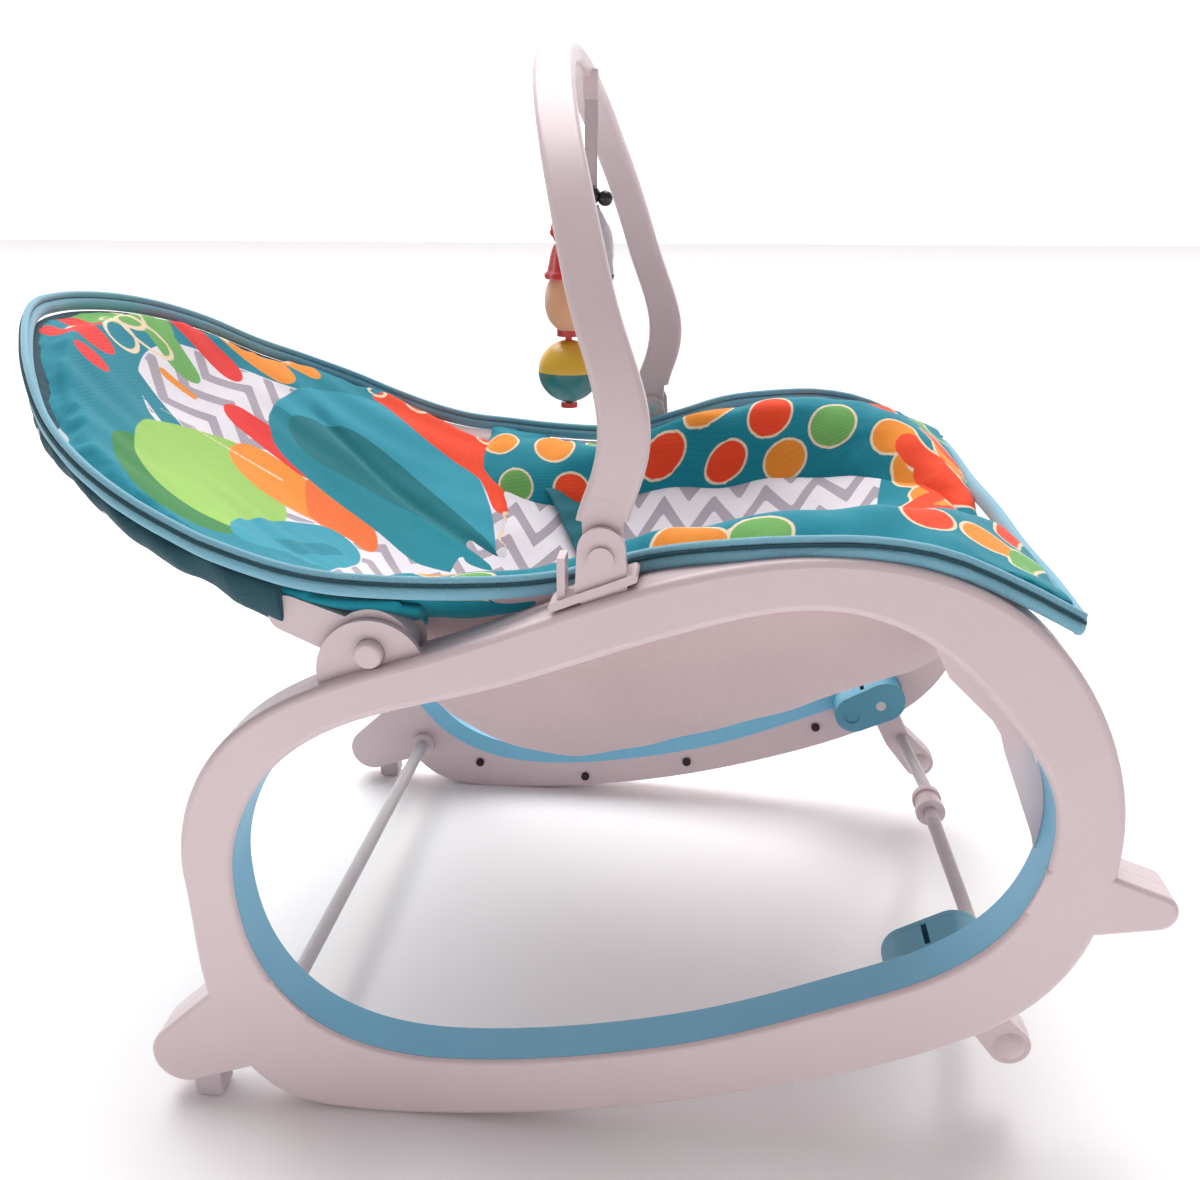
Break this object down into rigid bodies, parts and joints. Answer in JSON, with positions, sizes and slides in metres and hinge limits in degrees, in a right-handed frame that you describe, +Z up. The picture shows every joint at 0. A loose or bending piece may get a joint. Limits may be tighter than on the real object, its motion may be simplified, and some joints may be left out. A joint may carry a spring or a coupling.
{
  "type": "bouncer seat",
  "caption": "Baby bouncer seat with looped rocker rails, reclining padded hammock, folding kickstand and an arched toy bar with hanging toys.",
  "frame": {"origin": "middle of the length and width, on the floor under the rockers", "axes": "+X towards the child's feet, +Y to the left side, +Z up"},
  "size_m": [0.68, 0.43, 0.5951],
  "materials": {
    "white_plastic": "smooth white moulded plastic with a slight pink cast",
    "blue_plastic": "smooth light blue moulded plastic",
    "teal_plastic": "dull teal moulded plastic",
    "rubber_stop": "light non-slip rubber",
    "steel_tube": "white powder-coated steel tube",
    "steel_pin": "bright steel",
    "dark_screw": "blackened steel screw",
    "sleeve_fabric": "dark teal woven sleeve",
    "cover_fabric": "printed soft teal cover",
    "chevron_fabric": "white cover with a fine grey chevron",
    "lining_fabric": "plain white lining",
    "strap_webbing": "teal webbing",
    "toy_red": "red plastic",
    "toy_yellow": "yellow plastic",
    "toy_teal": "teal plastic",
    "toy_peach": "soft peach plush",
    "toy_grey": "soft grey plush",
    "toy_black": "black plastic"
  },
  "bodies": {
    "rocker_frame": {"right_rail_shell": "white_plastic", "right_rail_cover": "white_plastic", "right_rail_liner": "blue_plastic", "right_rear_stop": "rubber_stop", "right_hub_cap": "white_plastic", "right_recline_pin": "steel_pin", "right_stand_clamp": "teal_plastic", "right_stand_clamp_cover": "teal_plastic", "right_stand_pin": "steel_pin", "right_bar_socket": "white_plastic", "right_bar_pin": "steel_pin", "right_bolster": "cover_fabric", "right_waist_strap": "strap_webbing", "left_rail_shell": "white_plastic", "left_rail_cover": "white_plastic", "left_rail_liner": "blue_plastic", "left_rear_stop": "rubber_stop", "left_hub_cap": "white_plastic", "left_recline_pin": "steel_pin", "left_stand_clamp": "teal_plastic", "left_stand_clamp_cover": "teal_plastic", "left_stand_pin": "steel_pin", "left_bar_socket": "white_plastic", "left_bar_pin": "steel_pin", "left_bolster": "cover_fabric", "left_waist_strap": "strap_webbing", "rail_screws": "dark_screw", "rear_cross_tube": "steel_tube", "front_cross_tube": "steel_tube", "seat_pad": "chevron_fabric", "foot_pad": "cover_fabric", "seat_sling": "lining_fabric", "crotch_pad": "cover_fabric", "buckle": "teal_plastic"},
    "seat_back": {"back_tube": "steel_tube", "back_sleeve": "sleeve_fabric", "backrest_pad": "chevron_fabric", "right_back_arm": "white_plastic", "left_back_arm": "white_plastic"},
    "right_button": {"right_recline_button": "white_plastic"},
    "left_button": {"left_recline_button": "white_plastic"},
    "kickstand": {"right_stand_foot": "white_plastic", "left_stand_foot": "white_plastic", "right_stand_tube": "steel_tube", "left_stand_tube": "steel_tube", "stand_knuckle": "white_plastic"},
    "toy_arch": {"toy_bar": "white_plastic"},
    "right_toy": {"right_toy_strap": "strap_webbing", "right_toy_hat": "toy_red", "right_toy_head": "toy_peach", "right_toy_spindle": "toy_red"},
    "rattle_ball": {"right_toy_ball_top": "toy_yellow", "right_toy_ball_bottom": "toy_teal"},
    "left_toy": {"left_toy_strap": "strap_webbing", "left_toy_beads": "toy_black", "left_toy_body": "toy_grey"}
  },
  "joints": [
    {"name": "recline", "type": "hinge", "parent": "rocker_frame", "child": "seat_back", "pos_m": [-0.078, 0, 0.29], "axis": [0, 1, 0], "range_deg": [0, 25]},
    {"name": "right_button_press", "type": "slide", "parent": "rocker_frame", "child": "right_button", "axis": [0, 1, 0], "range_m": [0, 0.003], "stiffness_N_per_m": 300},
    {"name": "left_button_press", "type": "slide", "parent": "rocker_frame", "child": "left_button", "axis": [0, -1, 0], "range_m": [0, 0.003], "stiffness_N_per_m": 300},
    {"name": "kickstand_fold", "type": "hinge", "parent": "rocker_frame", "child": "kickstand", "pos_m": [0.238, 0, 0.106], "axis": [0, 1, 0], "range_deg": [0, 35]},
    {"name": "toy_bar_fold", "type": "hinge", "parent": "rocker_frame", "child": "toy_arch", "pos_m": [0.042, 0, 0.345], "axis": [0, 1, 0], "range_deg": [0, 50]},
    {"name": "right_toy_swing", "type": "hinge", "parent": "toy_arch", "child": "right_toy", "pos_m": [0.006, -0.045, 0.571], "axis": [0, 1, 0], "range_deg": [-35, 35]},
    {"name": "rattle_spin", "type": "hinge", "parent": "right_toy", "child": "rattle_ball", "pos_m": [0.006, -0.045, 0.411], "axis": [0, 0, 1], "continuous": true},
    {"name": "left_toy_swing", "type": "hinge", "parent": "toy_arch", "child": "left_toy", "pos_m": [0.01, 0.045, 0.571], "axis": [0, 1, 0], "range_deg": [-35, 35]}
  ]
}
